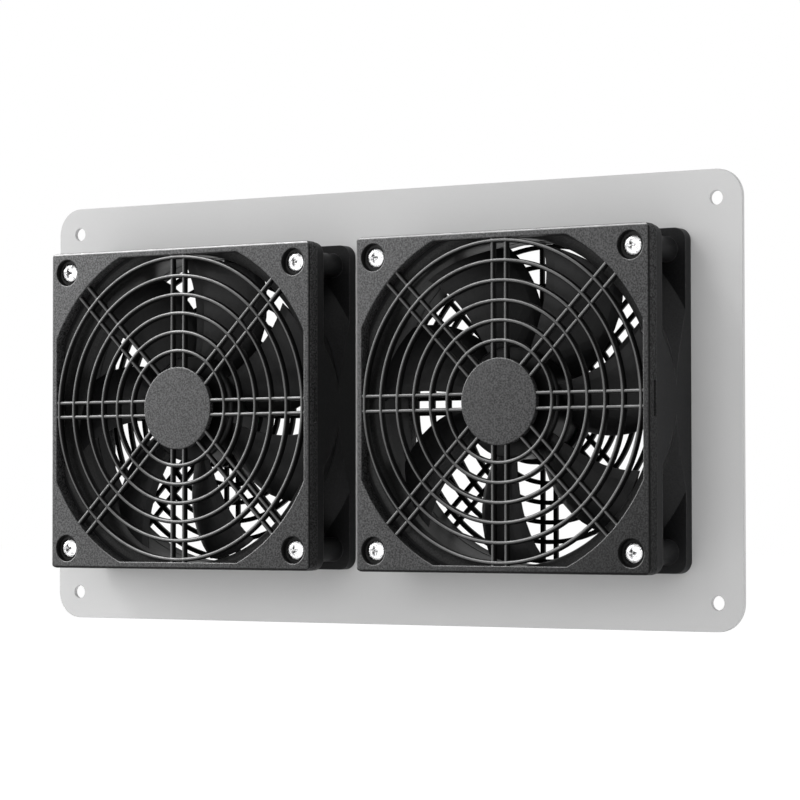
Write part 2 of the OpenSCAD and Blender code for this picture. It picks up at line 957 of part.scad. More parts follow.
mounting_plate();
on_plate(left) fan_frame();  // left_fan_frame
on_plate(right) fan_frame();  // right_fan_frame
on_plate(left) front_guard();  // left_front_guard
on_plate(right) front_guard();  // right_front_guard
on_plate(left) rear_guard();  // left_rear_guard
on_plate(right) rear_guard();  // right_rear_guard
on_plate(left) fan_screws();  // left_fan_screws
on_plate(right) fan_screws();  // right_fan_screws
on_plate(left) fan_nuts();  // left_fan_nuts
on_plate(right) fan_nuts();  // right_fan_nuts
on_plate(left) impeller(left_rest_angle);  // left_impeller
on_plate(right) impeller(right_rest_angle);  // right_impeller
on_plate(left) rotor_yoke();  // left_rotor_yoke
on_plate(right) rotor_yoke();  // right_rotor_yoke
on_plate(left) rotor_magnet();  // left_rotor_magnet
on_plate(right) rotor_magnet();  // right_rotor_magnet
on_plate(left) shaft_bushing();  // left_shaft_bushing
on_plate(right) shaft_bushing();  // right_shaft_bushing
on_plate(left) shaft();  // left_shaft
on_plate(right) shaft();  // right_shaft
on_plate(left) retaining_clip();  // left_retaining_clip
on_plate(right) retaining_clip();  // right_retaining_clip
on_plate(left) bearing_inner_rings();  // left_bearing_inner_rings
on_plate(right) bearing_inner_rings();  // right_bearing_inner_rings
on_plate(left) bearing_balls();  // left_bearing_balls
on_plate(right) bearing_balls();  // right_bearing_balls
on_plate(left) bearing_outer_rings();  // left_bearing_outer_rings
on_plate(right) bearing_outer_rings();  // right_bearing_outer_rings
on_plate(left) preload_washer();  // left_preload_washer
on_plate(right) preload_washer();  // right_preload_washer
on_plate(left) bearing_tube();  // left_bearing_tube
on_plate(right) bearing_tube();  // right_bearing_tube
on_plate(left) stator_core();  // left_stator_core
on_plate(right) stator_core();  // right_stator_core
on_plate(left) coil_bobbin();  // left_coil_bobbin
on_plate(right) coil_bobbin();  // right_coil_bobbin
on_plate(left) windings();  // left_windings
on_plate(right) windings();  // right_windings
on_plate(left) circuit_board();  // left_circuit_board
on_plate(right) circuit_board();  // right_circuit_board
on_plate(left) drive_chips();  // left_drive_chips
on_plate(right) drive_chips();  // right_drive_chips
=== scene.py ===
import json
import math

import bpy
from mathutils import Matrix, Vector


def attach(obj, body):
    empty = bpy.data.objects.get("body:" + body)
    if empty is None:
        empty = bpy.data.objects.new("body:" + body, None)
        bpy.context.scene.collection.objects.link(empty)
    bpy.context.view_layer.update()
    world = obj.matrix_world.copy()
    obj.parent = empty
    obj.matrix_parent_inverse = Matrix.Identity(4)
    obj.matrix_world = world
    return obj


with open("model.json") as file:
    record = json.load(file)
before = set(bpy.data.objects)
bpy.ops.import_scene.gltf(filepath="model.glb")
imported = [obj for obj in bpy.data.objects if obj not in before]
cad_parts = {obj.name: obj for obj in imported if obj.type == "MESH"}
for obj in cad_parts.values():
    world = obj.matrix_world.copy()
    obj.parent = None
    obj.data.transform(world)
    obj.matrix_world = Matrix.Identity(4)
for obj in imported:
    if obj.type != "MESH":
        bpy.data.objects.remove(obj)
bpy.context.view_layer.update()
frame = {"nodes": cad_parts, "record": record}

# Everything is in metres and in the CAD's frame: +Z is up, the fans face -Y, and the plate's rear
# face is at Y = 0.
MM = 0.001
FAN_X = 0.070
MIDDLE_Y = -0.014
HALF_SCREWS = 0.0525


# Camera: fitted to the photograph's screws, corners and holes

CAMERA_AT = (0.653829, -0.993057, -0.034825)
CAMERA_YAW = 33.0154
CAMERA_PITCH = 1.8009
CAMERA_ROLL = 0.0699
CAMERA_LENS = 145.11
CAMERA_SENSOR = 36.0
CAMERA_CLIP = (0.05, 50.0)


def make_camera():
    data = bpy.data.cameras.new("camera")
    data.sensor_width = CAMERA_SENSOR
    data.lens = CAMERA_LENS
    data.clip_start, data.clip_end = CAMERA_CLIP
    camera = bpy.data.objects.new("camera", data)
    bpy.context.scene.collection.objects.link(camera)
    camera.location = CAMERA_AT
    camera.rotation_euler = (
        math.radians(90.0 + CAMERA_PITCH),
        math.radians(CAMERA_ROLL),
        math.radians(CAMERA_YAW),
    )
    bpy.context.scene.camera = camera


make_camera()


# The recipes that all the materials share

# Parts of a noise's range that a tone or a roughness follows: the narrower, the harder its patches
SOFT = (0.3, 0.7)
FIRM = (0.35, 0.65)
CRISP = (0.4, 0.6)
# From face to edge: how far the rounded normal has turned from the face's own, as 1 - cosine
EDGE_SPAN = (0.02, 0.25)
BEVEL_SAMPLES = 4


def grey(level, tint=1.0):
    return (level, level, level * tint, 1.0)


def shade(colour, factor):
    return (colour[0] * factor, colour[1] * factor, colour[2] * factor, 1.0)


class Shader:
    """A Principled material and the few node recipes that all the materials here share."""

    def __init__(self, name):
        self.material = bpy.data.materials.new(name)
        self.material.use_nodes = True
        self.tree = self.material.node_tree
        self.bsdf = next(n for n in self.tree.nodes if n.type == "BSDF_PRINCIPLED")
        self.place = self.node("ShaderNodeTexCoord").outputs["Object"]

    def put(self, socket, value):
        if isinstance(value, bpy.types.NodeSocket):
            self.tree.links.new(value, socket)
        else:
            socket.default_value = value

    def node(self, kind, inputs=None, **settings):
        made = self.tree.nodes.new(kind)
        for key, value in settings.items():
            setattr(made, key, value)
        for key, value in (inputs or {}).items():
            self.put(made.inputs[key], value)
        return made

    def set(self, **values):
        for key, value in values.items():
            self.put(self.bsdf.inputs[key.replace("_", " ")], value)

    def maths(self, operation, a, b=0.0):
        return self.node("ShaderNodeMath", {0: a, 1: b}, operation=operation).outputs[0]

    def times(self, *factors):
        product = factors[0]
        for factor in factors[1:]:
            product = self.maths("MULTIPLY", product, factor)
        return product

    def rest(self, mask):
        """1 where the mask is 0, and 0 where it is 1."""
        return self.maths("SUBTRACT", 1.0, mask)

    def split(self, vector):
        """The vector's parts, named X, Y and Z."""
        return self.node("ShaderNodeSeparateXYZ", {0: vector}).outputs

    def dot(self, a, b):
        made = self.node("ShaderNodeVectorMath", {0: a, 1: b}, operation="DOT_PRODUCT")
        return made.outputs["Value"]

    def length(self, across, up):
        flat = self.node("ShaderNodeCombineXYZ", {"X": across, "Y": 0.0, "Z": up}).outputs[0]
        return self.node("ShaderNodeVectorMath", {0: flat}, operation="LENGTH").outputs["Value"]

    def stretched(self, x, y, z):
        """The object's coordinates, squeezed along each axis, so that a noise runs in streaks."""
        inputs = {"Vector": self.place, "Scale": (x, y, z)}
        return self.node("ShaderNodeMapping", inputs).outputs[0]

    def noise(self, size, detail, rough=0.5, vector=None):
        """Noise whose lumps are about size metres across, from 0 to 1."""
        inputs = {
            "Vector": vector or self.place,
            "Scale": 1.0 / size,
            "Detail": detail,
            "Roughness": rough,
        }
        return self.node("ShaderNodeTexNoise", inputs).outputs[0]

    def span(self, value, low, high, to_low=0.0, to_high=1.0):
        """The value carried from low..high to to_low..to_high, and held at the ends."""
        inputs = {
            "Value": value,
            "From Min": low,
            "From Max": high,
            "To Min": to_low,
            "To Max": to_high,
        }
        return self.node("ShaderNodeMapRange", inputs).outputs[0]

    def choose(self, mask, off, on):
        """The number off where the mask is 0, and on where it is 1."""
        return self.span(mask, 0.0, 1.0, off, on)

    def ridges(self, along, pitch):
        """A sine that repeats every pitch metres of the value along, from 0 to 1."""
        wave = self.maths("SINE", self.maths("MULTIPLY", along, 2 * math.pi / pitch))
        return self.span(wave, -1.0, 1.0)

    def mix(self, factor, a, b):
        made = self.node("ShaderNodeMix", data_type="RGBA")
        self.put(made.inputs[0], factor)
        self.put(made.inputs[6], a)
        self.put(made.inputs[7], b)
        return made.outputs[2]

    def varied(self, factor, colour, low, high):
        """The colour times low where the factor is 0, and times high where it is 1."""
        return self.mix(factor, shade(colour, low), shade(colour, high))

    def scaled(self, colour, factor):
        inputs = {0: colour, "Scale": factor}
        return self.node("ShaderNodeVectorMath", inputs, operation="SCALE").outputs["Vector"]

    def rounded(self, radius):
        """A normal that rounds the mesh's sharp edges by radius metres."""
        inputs = {"Radius": radius}
        return self.node("ShaderNodeBevel", inputs, samples=BEVEL_SAMPLES).outputs[0]

    def edges(self, rounded):
        """1 on the rounded edges and 0 on the faces."""
        normal = self.node("ShaderNodeNewGeometry").outputs["Normal"]
        return self.span(self.rest(self.dot(rounded, normal)), *EDGE_SPAN)

    def bump(self, height, depth, normal, strength=1.0):
        inputs = {"Height": height, "Distance": depth, "Strength": strength, "Normal": normal}
        return self.node("ShaderNodeBump", inputs).outputs[0]


# Where a point of the object lies


def fan_place(s):
    """Where a point lies in the nearer fan: across, up, and its distance from the axis."""
    place = s.split(s.place)
    across = s.maths("SUBTRACT", s.maths("ABSOLUTE", place["X"]), FAN_X)
    return across, place["Z"], s.length(across, place["Z"])


def in_square(s, half):
    """1 in the square of the nearer fan that reaches half metres to each side."""
    across, up, _ = fan_place(s)
    wide, high = (s.maths("LESS_THAN", s.maths("ABSOLUTE", value), half) for value in (across, up))
    return s.times(wide, high)


def from_screw(s):
    """Distance from the axis of the nearest screw."""
    across, up, _ = fan_place(s)
    gaps = (s.maths("SUBTRACT", s.maths("ABSOLUTE", value), HALF_SCREWS) for value in (across, up))
    return s.length(*gaps)


def outward(s, normal):
    """1 where a guard faces away from the fan and -1 where it faces the fan."""
    rear = s.maths("GREATER_THAN", s.split(s.place)["Y"], MIDDLE_Y)
    return s.times(s.choose(rear, -1.0, 1.0), s.split(normal)["Y"])


def by_side(s, left, right):
    """One value in the left fan and another in the right one."""
    return s.choose(s.maths("GREATER_THAN", s.split(s.place)["X"], 0.0), left, right)


# Moulded plastic

FLOW_SIZE = 24 * MM
FLOW_STREAK = (1.0, 1.0, 0.35)
FLOW_SPAN = (0.35, 0.75)
FLOW_SHARE = 0.25
FLOW_TONE = 1.5
FLOW_DEPTH = 0.05 * MM
RUB_SIZE = 3 * MM
RUB_LEAST = 0.3
RUB_TONE = 0.22
SMOOTHER = 0.05
ROUGHER = 0.07


def moulded(s, colour, grain, depth, speckle, worn, edge_radius, grainy=1.0):
    """The look of moulded plastic: a fine eroded grain, slow flow marks and rubbed edges.

    Gives the colour, the flow marks, the rounded normal, and that normal with the grain on it.
    """
    fine = s.noise(grain, detail=3.0, rough=0.65)
    flow = s.noise(FLOW_SIZE, detail=4.0, vector=s.stretched(*FLOW_STREAK))
    tone = s.varied(s.span(fine, *CRISP), colour, 1 - speckle, 1 + speckle)
    tone = s.mix(s.span(flow, *FLOW_SPAN, 0.0, FLOW_SHARE), tone, shade(colour, FLOW_TONE))
    rounded = s.rounded(edge_radius)
    patchy = s.span(s.noise(RUB_SIZE, detail=4.0), *FIRM, RUB_LEAST, 1.0)
    tone = s.mix(s.times(s.edges(rounded), patchy, worn), tone, grey(RUB_TONE))
    normal = s.bump(fine, depth, s.bump(flow, FLOW_DEPTH, rounded), grainy)
    return tone, flow, rounded, normal


def moulded_plastic(name, colour, roughness, grain, depth, speckle, worn, edge_radius, shine=0.5):
    s = Shader(name)
    tone, flow, _, normal = moulded(s, colour, grain, depth, speckle, worn, edge_radius)
    s.set(
        Base_Color=tone,
        Roughness=s.span(flow, *SOFT, roughness - SMOOTHER, roughness + ROUGHER),
        Specular_IOR_Level=shine,
        Normal=normal,
    )
    return s.material


# The guards: an eroded face and disc, and bars, which are the rings and spokes between them

OPENING_HALF = 57.1 * MM
OPENING_R = 63.2 * MM
DISC_R = 15.35 * MM
COUNTERBORE_R = 5.02 * MM
# The counterbores are painted near black as shade
COUNTERBORE_SHADE = 0.008
GUARD_GRAIN = 0.62 * MM
GUARD_GRAIN_DEPTH = 0.2 * MM
GUARD_SPECKLE = 0.9
GUARD_ROUGH = (0.42, 0.54)
FACE_ROUNDING = 0.6 * MM
BAR_ROUNDING = 0.32 * MM
# The specular levels of the bars' flanks and the face; the noses, and the crests that carry the
# painted highlight, are polished
BAR_SHINE = 0.06
FACE_SHINE = 0.35
POLISHED_SHINE = 1.0
POLISHED_ROUGH = 0.2
# A guard's sides are painted darker than its face, as painted shade, by how far they face outward
SIDE_SPAN = (0.3, 0.8)
SIDE_SHADE_TONE = 0.8
# The bars' flanks, and the noses along their fronts, which are polished and painted paler as a
# highlight line
BAR_TONE = 0.004
NOSE_HIGHLIGHT_TONE = 0.06
NOSE_SPAN = (0.92, 1.0)
# Crests are front edges that look up and to the left, toward the light, and carry a painted
# highlight
PAINTED_LIGHT_WAY = (-0.5, 0.0, 0.86)
HIGHLIGHT_SPAN = (0.12, 0.36)
HIGHLIGHT_TONE = 0.75
FACE_HIGHLIGHT_FROM = 0.62
BAR_HIGHLIGHT_FROM = 0.76
HIGHLIGHT_STEP = 0.1
# The right fan's painted highlights are weaker, as it is lit less
RIGHT_HIGHLIGHT = 0.7
# Patches that break up the painted highlights on crests and noses
HIGHLIGHT_PATCH_SIZE = 2.5 * MM
HIGHLIGHT_PATCH_LEAST = 0.7
# Front edges that look the other way, away from the light, get painted shade as dark as the bars
LEE_SHADE_SPAN = (-0.06, -0.25)
LEE_SHADE_FRONT = (0.45, 0.6)
# Painted light: the front guards' tone falls from FADE_HIGH at their upper left to FADE_LOW at
# their lower right, and the left guard's is higher than the right one's, by FADE_SIDE each way
FADE_LOW = 0.6
FADE_HIGH = 1.6
FADE_SIDE = 0.15


def painted_light_fade(s):
    """A painted light factor on a guard's tone: 1 on the rear guards, and fading across the front
    ones.
    """
    place = s.split(s.place)
    across = s.maths("SUBTRACT", place["X"], s.times(s.maths("SIGN", place["X"]), FAN_X))
    slant = s.maths("SUBTRACT", place["Z"], across)
    light_fade = s.span(slant, -2 * HALF_SCREWS, 2 * HALF_SCREWS, FADE_LOW, FADE_HIGH)
    light_fade = s.maths("ADD", light_fade, by_side(s, FADE_SIDE, -FADE_SIDE))
    return s.choose(s.maths("LESS_THAN", place["Y"], MIDDLE_Y), 1.0, light_fade)


def guard_plastic(name, colour):
    """Eroded plastic on the face and the disc; black bars with polished noses; painted highlights
    on crests and noses, painted shade on sides, lee edges and counterbores, and a painted light
    fade.
    """
    s = Shader(name)
    radius = fan_place(s)[2]
    opening = s.times(in_square(s, OPENING_HALF), s.maths("LESS_THAN", radius, OPENING_R))
    bars = s.times(opening, s.maths("GREATER_THAN", radius, DISC_R))
    sunk = s.maths("LESS_THAN", from_screw(s), COUNTERBORE_R)
    light_fade = painted_light_fade(s)
    tone, flow, rounded, normal = moulded(
        s,
        colour,
        GUARD_GRAIN,
        GUARD_GRAIN_DEPTH,
        GUARD_SPECKLE,
        worn=0.0,
        edge_radius=s.choose(bars, FACE_ROUNDING, BAR_ROUNDING),
        grainy=s.rest(bars),
    )

    facing = outward(s, rounded)
    side = s.span(facing, *SIDE_SPAN)
    lit = s.dot(rounded, PAINTED_LIGHT_WAY)
    # Painted shade on front edges that face away from the light
    lee_shade = s.times(s.span(lit, *LEE_SHADE_SPAN), s.span(facing, *LEE_SHADE_FRONT))
    # Painted shade on the sides, and the painted light fade on the tone
    tone = s.mix(s.choose(side, SIDE_SHADE_TONE, 1.0), grey(0.0), s.scaled(tone, light_fade))
    # Painted shade in the counterbores
    tone = s.mix(sunk, tone, grey(COUNTERBORE_SHADE))
    tone = s.mix(lee_shade, tone, grey(BAR_TONE))

    # Patches in the painted highlights, weaker on the right fan
    highlight_patches = s.span(s.noise(HIGHLIGHT_PATCH_SIZE, detail=4.0), *SOFT, HIGHLIGHT_PATCH_LEAST, 1.0)
    highlight_patches = s.times(highlight_patches, by_side(s, 1.0, RIGHT_HIGHLIGHT))
    nose = s.times(bars, s.span(facing, *NOSE_SPAN))
    steep = s.choose(bars, FACE_HIGHLIGHT_FROM, BAR_HIGHLIGHT_FROM)
    front = s.span(facing, steep, s.maths("ADD", steep, HIGHLIGHT_STEP))
    # Painted highlight: front edges that face the light are painted pale
    painted_highlight = s.times(s.span(lit, *HIGHLIGHT_SPAN), front, highlight_patches, s.rest(sunk))
    # The noses painted paler: polish, and a painted highlight line
    bar_tone = s.mix(s.times(nose, highlight_patches), grey(BAR_TONE), grey(NOSE_HIGHLIGHT_TONE))

    polished = s.maths("MAXIMUM", nose, painted_highlight)
    face = s.times(side, s.rest(s.maths("MAXIMUM", bars, lee_shade)))
    shine = s.choose(face, BAR_SHINE, s.times(light_fade, FACE_SHINE))
    s.set(
        Base_Color=s.mix(painted_highlight, s.mix(bars, tone, bar_tone), grey(HIGHLIGHT_TONE)),
        Roughness=s.choose(polished, s.span(flow, *SOFT, *GUARD_ROUGH), POLISHED_ROUGH),
        Specular_IOR_Level=s.choose(polished, shine, POLISHED_SHINE),
        Normal=normal,
    )
    return s.material


# The fans' frames: smooth, but for the flared mouth at the front of the duct

MOUTH_HALF = 58.4 * MM
MOUTH_R = (57.2 * MM, 62.1 * MM)
MOUTH_Y = (-12.5 * MM, -14.0 * MM)
MOUTH_GRAIN = 0.6 * MM
# The mouth's tone is paler than the frame's: painted light
MOUTH_LIT_TONE = 0.025
MOUTH_SPECKLE = 0.4
FRAME_GRAIN = 0.6 * MM
FRAME_GRAIN_DEPTH = 0.015 * MM
FRAME_SPECKLE = 0.25
# Pale rubbed edges on the frame: partly wear, partly painted highlight lines
FRAME_WORN_AND_SHEEN = 0.4
FRAME_ROUNDING = 0.35 * MM
FRAME_ROUGH = (0.37, 0.49)
FRAME_SHINE = 0.12


def frame_plastic(name, colour):
    """Smooth black plastic; the duct's flared mouth is eroded like the guards, and painted paler
    as painted light.
    """
    s = Shader(name)
    radius = fan_place(s)[2]
    mouth = s.times(
        in_square(s, MOUTH_HALF),
        s.span(s.split(s.place)["Y"], *MOUTH_Y),
        s.maths("GREATER_THAN", radius, MOUTH_R[0]),
        s.maths("LESS_THAN", radius, MOUTH_R[1]),
    )
    tone, flow, _, normal = moulded(
        s, colour, FRAME_GRAIN, FRAME_GRAIN_DEPTH, FRAME_SPECKLE, FRAME_WORN_AND_SHEEN, FRAME_ROUNDING
    )
    specks = s.span(s.noise(MOUTH_GRAIN, detail=3.0), *SOFT)
    eroded_and_lit = s.varied(specks, grey(MOUTH_LIT_TONE), 1 - MOUTH_SPECKLE, 1 + MOUTH_SPECKLE)
    s.set(
        Base_Color=s.mix(mouth, tone, eroded_and_lit),
        Roughness=s.span(flow, *SOFT, *FRAME_ROUGH),
        Specular_IOR_Level=FRAME_SHINE,
        Normal=normal,
    )
    return s.material


# The plate

PEEL_SIZE = 1.1 * MM
PEEL_DEPTH = 0.02 * MM
POWDER_SIZE = 0.25 * MM
POWDER_DEPTH = 0.004 * MM
POWDER_SHARE = 0.5
POWDER_TONE = 0.96
CLOUD_SIZE = 60 * MM
CLOUD_TONES = (0.975, 1.02)
PLATE_ROUNDING = 0.35 * MM
PLATE_ROUGH = (0.46, 0.56)
THIN_SHARE = 0.5
THIN_TONE = 0.6


def powder_coat(name, colour):
    """Powder-coated sheet: orange peel, a faint cloud of tone, and edges where the coat thins."""
    s = Shader(name)
    peel = s.noise(PEEL_SIZE, detail=1.5, rough=0.4)
    fine = s.noise(POWDER_SIZE, detail=2.0)
    cloud = s.noise(CLOUD_SIZE, detail=3.0)
    tone = s.varied(s.span(cloud, *FIRM), colour, *CLOUD_TONES)
    tone = s.mix(s.span(fine, *FIRM, 0.0, POWDER_SHARE), tone, shade(colour, POWDER_TONE))
    rounded = s.rounded(PLATE_ROUNDING)
    tone = s.mix(s.times(s.edges(rounded), THIN_SHARE), tone, shade(colour, THIN_TONE))
    s.set(
        Base_Color=tone,
        Roughness=s.span(cloud, *SOFT, *PLATE_ROUGH),
        Normal=s.bump(peel, PEEL_DEPTH, s.bump(fine, POWDER_DEPTH, rounded)),
    )
    return s.material


# Bare and plated metal

METAL_ROUNDING = 0.2 * MM
POLISH_SIZE = 0.5 * MM
POLISH_DEPTH = 0.01 * MM
POLISH_TONES = (0.9, 1.06)
STAIN_SIZE = 4 * MM
STAIN_SPAN = (0.5, 0.75)
STAIN_SHARE = 0.25
STAIN_TONE = 0.45
BRIGHTER = 0.04
DULLER = 0.1


def metal(name, colour, roughness, streak):
    """Bare or plated metal with streaks of polish and darker smears."""
    s = Shader(name)
    lines = s.noise(POLISH_SIZE, detail=4.0, rough=0.7, vector=s.stretched(*streak))
    stain = s.noise(STAIN_SIZE, detail=5.0, rough=0.6)
    tone = s.varied(s.span(lines, *SOFT), colour, *POLISH_TONES)
    tone = s.mix(s.span(stain, *STAIN_SPAN, 0.0, STAIN_SHARE), tone, shade(colour, STAIN_TONE))
    s.set(
        Base_Color=tone,
        Metallic=1.0,
        Roughness=s.span(stain, *SOFT, roughness - BRIGHTER, roughness + DULLER),
        Normal=s.bump(lines, POLISH_DEPTH, s.rounded(METAL_ROUNDING)),
    )
    return s.material


SCREW_GRAIN = 0.7 * MM
SCREW_GRAIN_DEPTH = 0.12 * MM
SCREW_TONES = (0.8, 1.05)
SCREW_ROUGH = (0.12, 0.24)
SPECK_SIZE = 0.9 * MM
SPECK_SPAN = (0.6, 0.66)
SPECK_SHARE = 0.7
RECESS_SHADE_SIZE = 0.6 * MM
RECESS_SHADE_SPAN = (0.42, 0.52)
SPECK_AND_SHADE_TONE = 0.03
RECESS_SPAN = (0.8 * MM, 1.8 * MM)


def screw_head(name, colour):
    """Plated steel with dark specks, and painted shade in the cross recess of each screw."""
    s = Shader(name)
    grain = s.noise(SCREW_GRAIN, detail=4.0, rough=0.7)
    specks = s.span(s.noise(SPECK_SIZE, detail=3.0), *SPECK_SPAN)
    recess = s.span(from_screw(s), *RECESS_SPAN, 1.0, 0.0)
    # Painted shade in the cross recess, broken up by noise
    recess_shade = s.times(recess, s.span(s.noise(RECESS_SHADE_SIZE, detail=2.0), *RECESS_SHADE_SPAN))
    dark = s.maths("MAXIMUM", s.times(specks, SPECK_SHARE), recess_shade)
    tone = s.varied(s.span(grain, *SOFT), colour, *SCREW_TONES)
    s.set(
        Base_Color=s.mix(dark, tone, grey(SPECK_AND_SHADE_TONE)),
        Metallic=1.0,
        Roughness=s.span(grain, *SOFT, *SCREW_ROUGH),
        Normal=s.bump(grain, SCREW_GRAIN_DEPTH, s.rounded(METAL_ROUNDING)),
    )
    return s.material


# The insides of the motors

WIRE_PITCH = 0.34 * MM
WIRE_DEPTH = 0.12 * MM
WIRE_ROUNDING = 0.2 * MM
WIRE_ROUGH = (0.22, 0.38)
WIRE_GAP = (0.16, 0.045, 0.016, 1.0)
WIRE_TOP = (0.62, 0.25, 0.1, 1.0)
VARNISH = (0.35, 0.11, 0.04, 1.0)
VARNISH_SIZE = 1.5 * MM
VARNISH_SPAN = (0.4, 0.7)
VARNISH_SHARE = 0.4


def wound_wire(name):
    """Enamelled copper wire, laid turn beside turn round each pole."""
    s = Shader(name)
    turns = s.ridges(fan_place(s)[2], WIRE_PITCH)
    cloud = s.noise(VARNISH_SIZE, detail=3.0)
    varnished = s.span(cloud, *VARNISH_SPAN, 0.0, VARNISH_SHARE)
    s.set(
        Base_Color=s.mix(varnished, s.mix(turns, WIRE_GAP, WIRE_TOP), VARNISH),
        Metallic=0.85,
        Roughness=s.span(cloud, *SOFT, *WIRE_ROUGH),
        Normal=s.bump(turns, WIRE_DEPTH, s.rounded(WIRE_ROUNDING)),
    )
    return s.material


SHEET_PITCH = 0.5 * MM
SHEET_DEPTH = 0.06 * MM
SHEET_ROUNDING = 0.15 * MM
SHEET_ROUGH = (0.35, 0.55)
SHEET_GAP = grey(0.1)
SHEET_EDGE = grey(0.36, 1.04)
RUST = (0.2, 0.13, 0.09, 1.0)
RUST_SIZE = 2 * MM
RUST_SPAN = (0.55, 0.75)
RUST_SHARE = 0.5


def stacked_sheets(name):
    """A stack of punched sheets, each a thin line along the fan's axis."""
    s = Shader(name)
    sheets = s.ridges(s.split(s.place)["Y"], SHEET_PITCH)
    cloud = s.noise(RUST_SIZE, detail=5.0, rough=0.6)
    rusty = s.span(cloud, *RUST_SPAN, 0.0, RUST_SHARE)
    s.set(
        Base_Color=s.mix(rusty, s.mix(sheets, SHEET_GAP, SHEET_EDGE), RUST),
        Metallic=0.9,
        Roughness=s.span(cloud, *SOFT, *SHEET_ROUGH),
        Normal=s.bump(sheets, SHEET_DEPTH, s.rounded(SHEET_ROUNDING)),
    )
    return s.material


TRACK_PITCH = 2.6 * MM
TRACK_SPAN = (0.04, 0.12)
TRACK_DEPTH = 0.03 * MM
TRACK_GREEN = (0.03, 0.2, 0.09, 1.0)
MASK_GREEN = (0.012, 0.1, 0.045, 1.0)
WEAVE_GREEN = (0.05, 0.16, 0.08, 1.0)
WEAVE_SIZE = 0.4 * MM
WEAVE_SHARE = 0.3
BOARD_ROUNDING = 0.1 * MM
BOARD_ROUGH = (0.28, 0.4)


def laminate(name):
    """A circuit board's green mask with faint tracks under it."""
    s = Shader(name)
    cells = {"Vector": s.place, "Scale": 1 / TRACK_PITCH}
    tracks = s.node("ShaderNodeTexVoronoi", cells, feature="DISTANCE_TO_EDGE")
    mask = s.span(tracks.outputs["Distance"], *TRACK_SPAN)
    weave = s.noise(WEAVE_SIZE, detail=2.0)
    woven = s.span(weave, *CRISP, 0.0, WEAVE_SHARE)
    s.set(
        Base_Color=s.mix(woven, s.mix(mask, TRACK_GREEN, MASK_GREEN), WEAVE_GREEN),
        Roughness=s.span(weave, *SOFT, *BOARD_ROUGH),
        Normal=s.bump(mask, -TRACK_DEPTH, s.rounded(BOARD_ROUNDING)),
    )
    return s.material


# Each material slot's recipe and what it is told

FINISHES = {
    "plate_finish": (powder_coat, {"colour": grey(0.65)}),
    "frame_plastic": (frame_plastic, {"colour": grey(0.011, 1.05)}),
    "blade_plastic": (
        moulded_plastic,
        {
            "colour": grey(0.006, 1.05),
            "roughness": 0.38,
            "grain": 0.8 * MM,
            "depth": 0.01 * MM,
            "speckle": 0.2,
            "worn": 0.15,
            "edge_radius": 0.3 * MM,
            "shine": 0.2,
        },
    ),
    "guard_plastic": (guard_plastic, {"colour": grey(0.041, 1.02)}),
    "screw_steel": (screw_head, {"colour": grey(0.86, 1.01)}),
    "plated_steel": (
        metal,
        {"colour": (0.60, 0.59, 0.56, 1.0), "roughness": 0.3, "streak": (1.0, 0.15, 1.0)},
    ),
    "bright_steel": (
        metal,
        {"colour": grey(0.66, 1.02), "roughness": 0.18, "streak": (1.0, 0.1, 1.0)},
    ),
    "magnet": (
        moulded_plastic,
        {
            "colour": (0.045, 0.042, 0.04, 1.0),
            "roughness": 0.55,
            "grain": 0.3 * MM,
            "depth": 0.02 * MM,
            "speckle": 0.4,
            "worn": 0.2,
            "edge_radius": 0.2 * MM,
        },
    ),
    "brass": (
        metal,
        {"colour": (0.72, 0.5, 0.2, 1.0), "roughness": 0.24, "streak": (0.3, 1.0, 0.3)},
    ),
    "stator_steel": (stacked_sheets, {}),
    "bobbin_nylon": (
        moulded_plastic,
        {
            "colour": (0.68, 0.66, 0.58, 1.0),
            "roughness": 0.45,
            "grain": 0.5 * MM,
            "depth": 0.02 * MM,
            "speckle": 0.05,
            "worn": 0.0,
            "edge_radius": 0.15 * MM,
        },
    ),
    "enamelled_copper": (wound_wire, {}),
    "board_laminate": (laminate, {}),
    "chip_epoxy": (
        moulded_plastic,
        {
            "colour": grey(0.02),
            "roughness": 0.5,
            "grain": 0.2 * MM,
            "depth": 0.01 * MM,
            "speckle": 0.3,
            "worn": 0.15,
            "edge_radius": 0.1 * MM,
        },
    ),
}
MATERIALS = {slot: recipe(slot, **told) for slot, (recipe, told) in FINISHES.items()}

for entry in frame["record"]["subparts"]:
    piece = frame["nodes"][entry["node"]]
    piece.data.materials.clear()
    piece.data.materials.append(MATERIALS[entry["material_slot"]])


# Pieces that the CAD lacks

SLEEVE_R = 0.05745
SLEEVE_OUT_R = 0.0633
SLEEVE_HALF = 0.059
SLEEVE_FRONT_Y = -0.0069
SLEEVE_REAR_Y = -0.0003
SLEEVE_STEPS = 144
SHARP_ANGLE = 0.6


